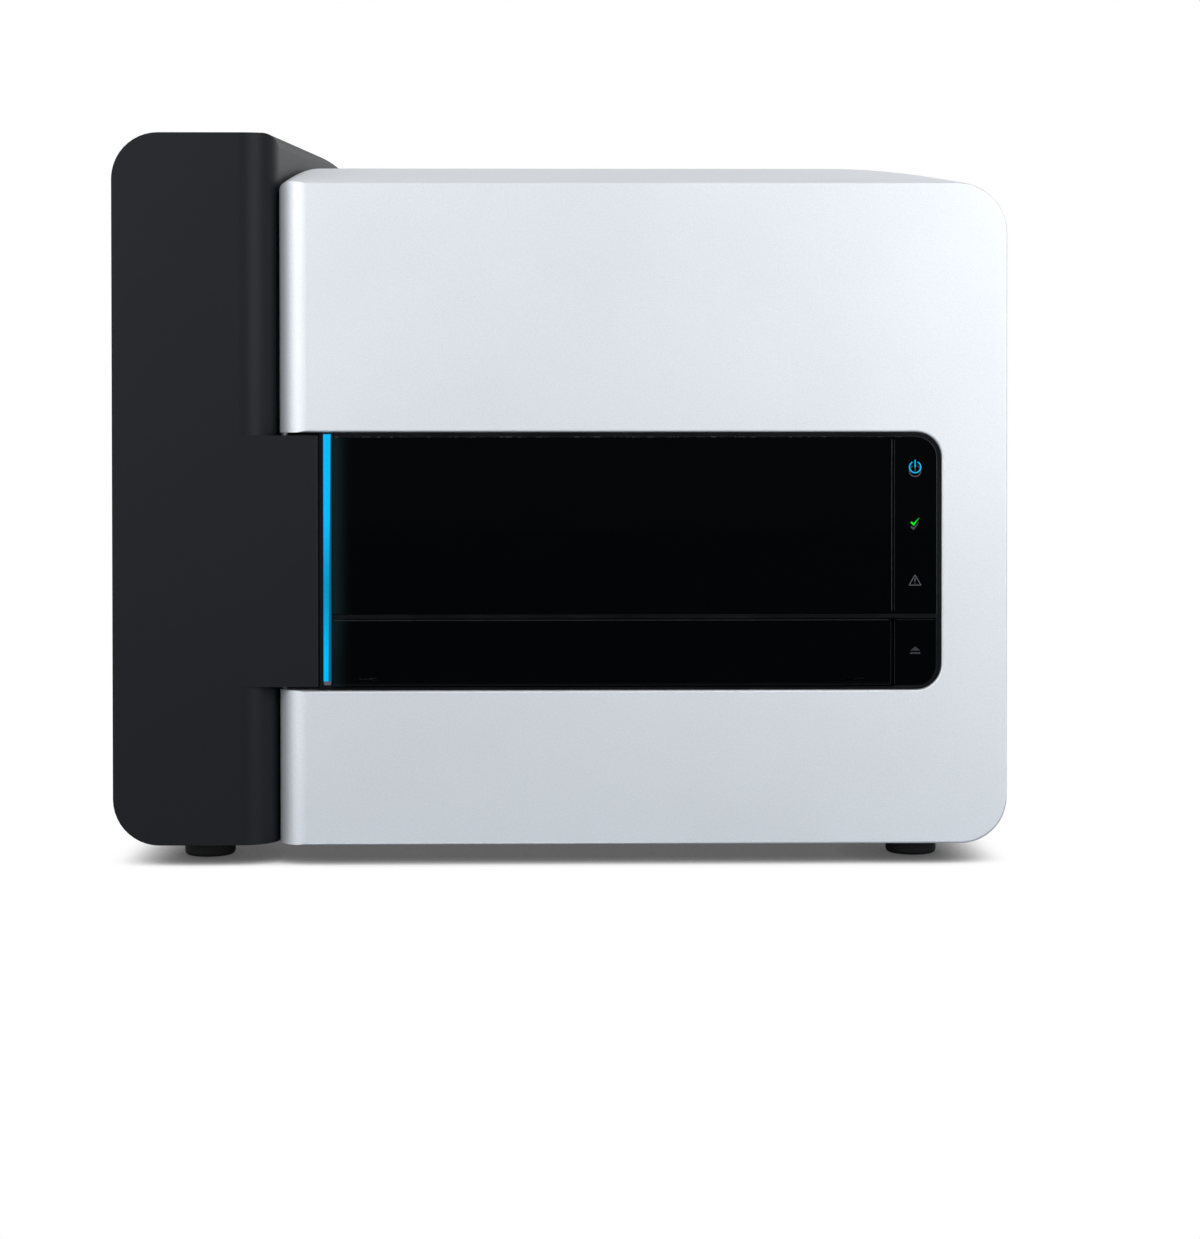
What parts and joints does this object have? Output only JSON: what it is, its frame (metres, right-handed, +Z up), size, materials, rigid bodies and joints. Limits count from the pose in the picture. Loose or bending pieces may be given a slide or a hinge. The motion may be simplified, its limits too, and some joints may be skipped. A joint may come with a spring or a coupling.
{
  "type": "microarray scanner",
  "caption": "Bench-top microarray scanner: crowned silver housing, charcoal side module, black window with drop-down tray door, blue light strip and status column.",
  "frame": {"origin": "on the bench surface, at the middle of the footprint", "axes": "+X to the right of a person facing the front, +Y to the rear, +Z up; the front faces -Y"},
  "size_m": [0.52, 0.65, 0.457],
  "materials": {
    "silver_paint": "satin metallic silver paint",
    "charcoal_paint": "fine-grained satin charcoal",
    "black_frame": "black moulding",
    "black_glass": "high-gloss black acrylic",
    "black_gloss": "high-gloss black moulding",
    "light_plastic": "clear light pipe lit cyan blue",
    "circuit_board": "green circuit board",
    "blackened_steel": "blackened",
    "steel": "bright steel",
    "switch_plastic": "black moulding",
    "sheet_steel": "powder-coated sheet",
    "foot_rubber": "black rubber",
    "belt_rubber": "black toothed belt",
    "bench_aluminium": "machined",
    "tray_black": "black anodised",
    "pulley_metal": "turned",
    "motor_black": "black",
    "lens_black": "black anodised",
    "laser_housing": "grey anodised, finned",
    "supply_case": "galvanised",
    "port_metal": "plated"
  },
  "bodies": {
    "housing": {"front_fascia": "silver_paint", "main_cover": "silver_paint", "side_module_shell": "charcoal_paint", "window_frame": "black_frame", "window_glass": "black_glass", "status_panel": "black_glass", "light_pipe": "light_plastic", "status_board": "circuit_board", "light_board": "circuit_board", "main_board": "circuit_board", "door_brackets": "blackened_steel", "door_pins": "blackened_steel", "foot_screws": "steel", "rear_screws": "steel", "eject_spring": "steel", "loader_rails": "steel", "head_rails": "steel", "board_spacers": "steel", "eject_switch": "switch_plastic", "power_inlet": "switch_plastic", "power_switch_frame": "switch_plastic", "fan_frame": "switch_plastic", "chassis_base": "sheet_steel", "side_bay_floor": "sheet_steel", "main_rear_panel": "sheet_steel", "side_rear_panel": "sheet_steel", "foot_front_left": "foot_rubber", "foot_front_right": "foot_rubber", "foot_rear_left": "foot_rubber", "foot_rear_right": "foot_rubber", "bench_mounts": "foot_rubber", "loader_belt": "belt_rubber", "optical_bench": "bench_aluminium", "scan_bridge": "bench_aluminium", "beam_block": "bench_aluminium", "idler_post": "bench_aluminium", "loader_motor": "motor_black", "head_motor": "motor_black", "filter_motor": "motor_black", "green_detector": "lens_black", "red_detector": "lens_black", "green_laser": "laser_housing", "red_laser": "laser_housing", "power_supply": "supply_case", "data_ports": "port_metal"},
    "tray_door": {"tray_door": "black_gloss"},
    "loader": {"slide_tray": "tray_black", "slide_springs": "steel", "loader_carriage": "bench_aluminium", "loader_blocks": "steel"},
    "eject_button": {"eject_button": "black_gloss"},
    "power_rocker": {"power_rocker": "switch_plastic"},
    "fan_rotor": {"fan_rotor": "switch_plastic"},
    "scan_head": {"head_carriage": "bench_aluminium"},
    "objective_block": {"objective_block": "bench_aluminium"},
    "objective_lens": {"objective_lens": "lens_black"},
    "lead_screw": {"lead_screw": "steel"},
    "drive_pulley": {"drive_pulley": "pulley_metal"},
    "idler_pulley": {"idler_pulley": "pulley_metal"},
    "filter_wheel": {"filter_wheel": "lens_black"}
  },
  "joints": [
    {"name": "tray_slide", "type": "slide", "parent": "housing", "child": "loader", "axis": [0, -1, 0], "range_m": [0, 0.163]},
    {"name": "door_hinge", "type": "hinge", "parent": "housing", "child": "tray_door", "pos_m": [0.0298, -0.3227, 0.1058], "axis": [1, 0, 0], "range_deg": [0, 90]},
    {"name": "eject_press", "type": "slide", "parent": "housing", "child": "eject_button", "axis": [0, 1, 0], "range_m": [0, 0.0012], "stiffness_N_per_m": 900, "springref_m": -0.0012, "deforming": ["eject_spring"]},
    {"name": "rocker_tilt", "type": "hinge", "parent": "housing", "child": "power_rocker", "pos_m": [-0.2126, 0.313, 0.098], "axis": [1, 0, 0], "range_deg": [0, 10]},
    {"name": "fan_spin", "type": "hinge", "parent": "housing", "child": "fan_rotor", "pos_m": [-0.2126, 0.3, 0.37], "axis": [0, 1, 0], "continuous": true},
    {"name": "head_slide", "type": "slide", "parent": "housing", "child": "scan_head", "axis": [0, 1, 0], "range_m": [0, 0.078]},
    {"name": "cross_slide", "type": "slide", "parent": "scan_head", "child": "objective_block", "axis": [1, 0, 0], "range_m": [-0.05, 0.05]},
    {"name": "focus_slide", "type": "slide", "parent": "objective_block", "child": "objective_lens", "axis": [0, 0, 1], "range_m": [-0.002, 0.002]},
    {"name": "screw_spin", "type": "hinge", "parent": "housing", "child": "lead_screw", "pos_m": [0.172, -0.163, 0.21], "axis": [0, 1, 0], "continuous": true},
    {"name": "drive_spin", "type": "hinge", "parent": "housing", "child": "drive_pulley", "pos_m": [0.03, 0.027, 0.069], "axis": [0, 0, 1], "continuous": true},
    {"name": "idler_spin", "type": "hinge", "parent": "housing", "child": "idler_pulley", "pos_m": [0.03, -0.247, 0.069], "axis": [0, 0, 1], "continuous": true},
    {"name": "filter_spin", "type": "hinge", "parent": "housing", "child": "filter_wheel", "pos_m": [0.03, 0.048, 0.103], "axis": [0, 1, 0], "continuous": true}
  ],
  "couplings": [
    {"joint": "door_hinge", "follows": "tray_slide", "rad_per_m": 9.63},
    {"joint": "drive_spin", "follows": "tray_slide", "rad_per_m": -114.29},
    {"joint": "idler_spin", "follows": "tray_slide", "rad_per_m": -114.29},
    {"joint": "screw_spin", "follows": "head_slide", "rad_per_m": 1256.6}
  ]
}
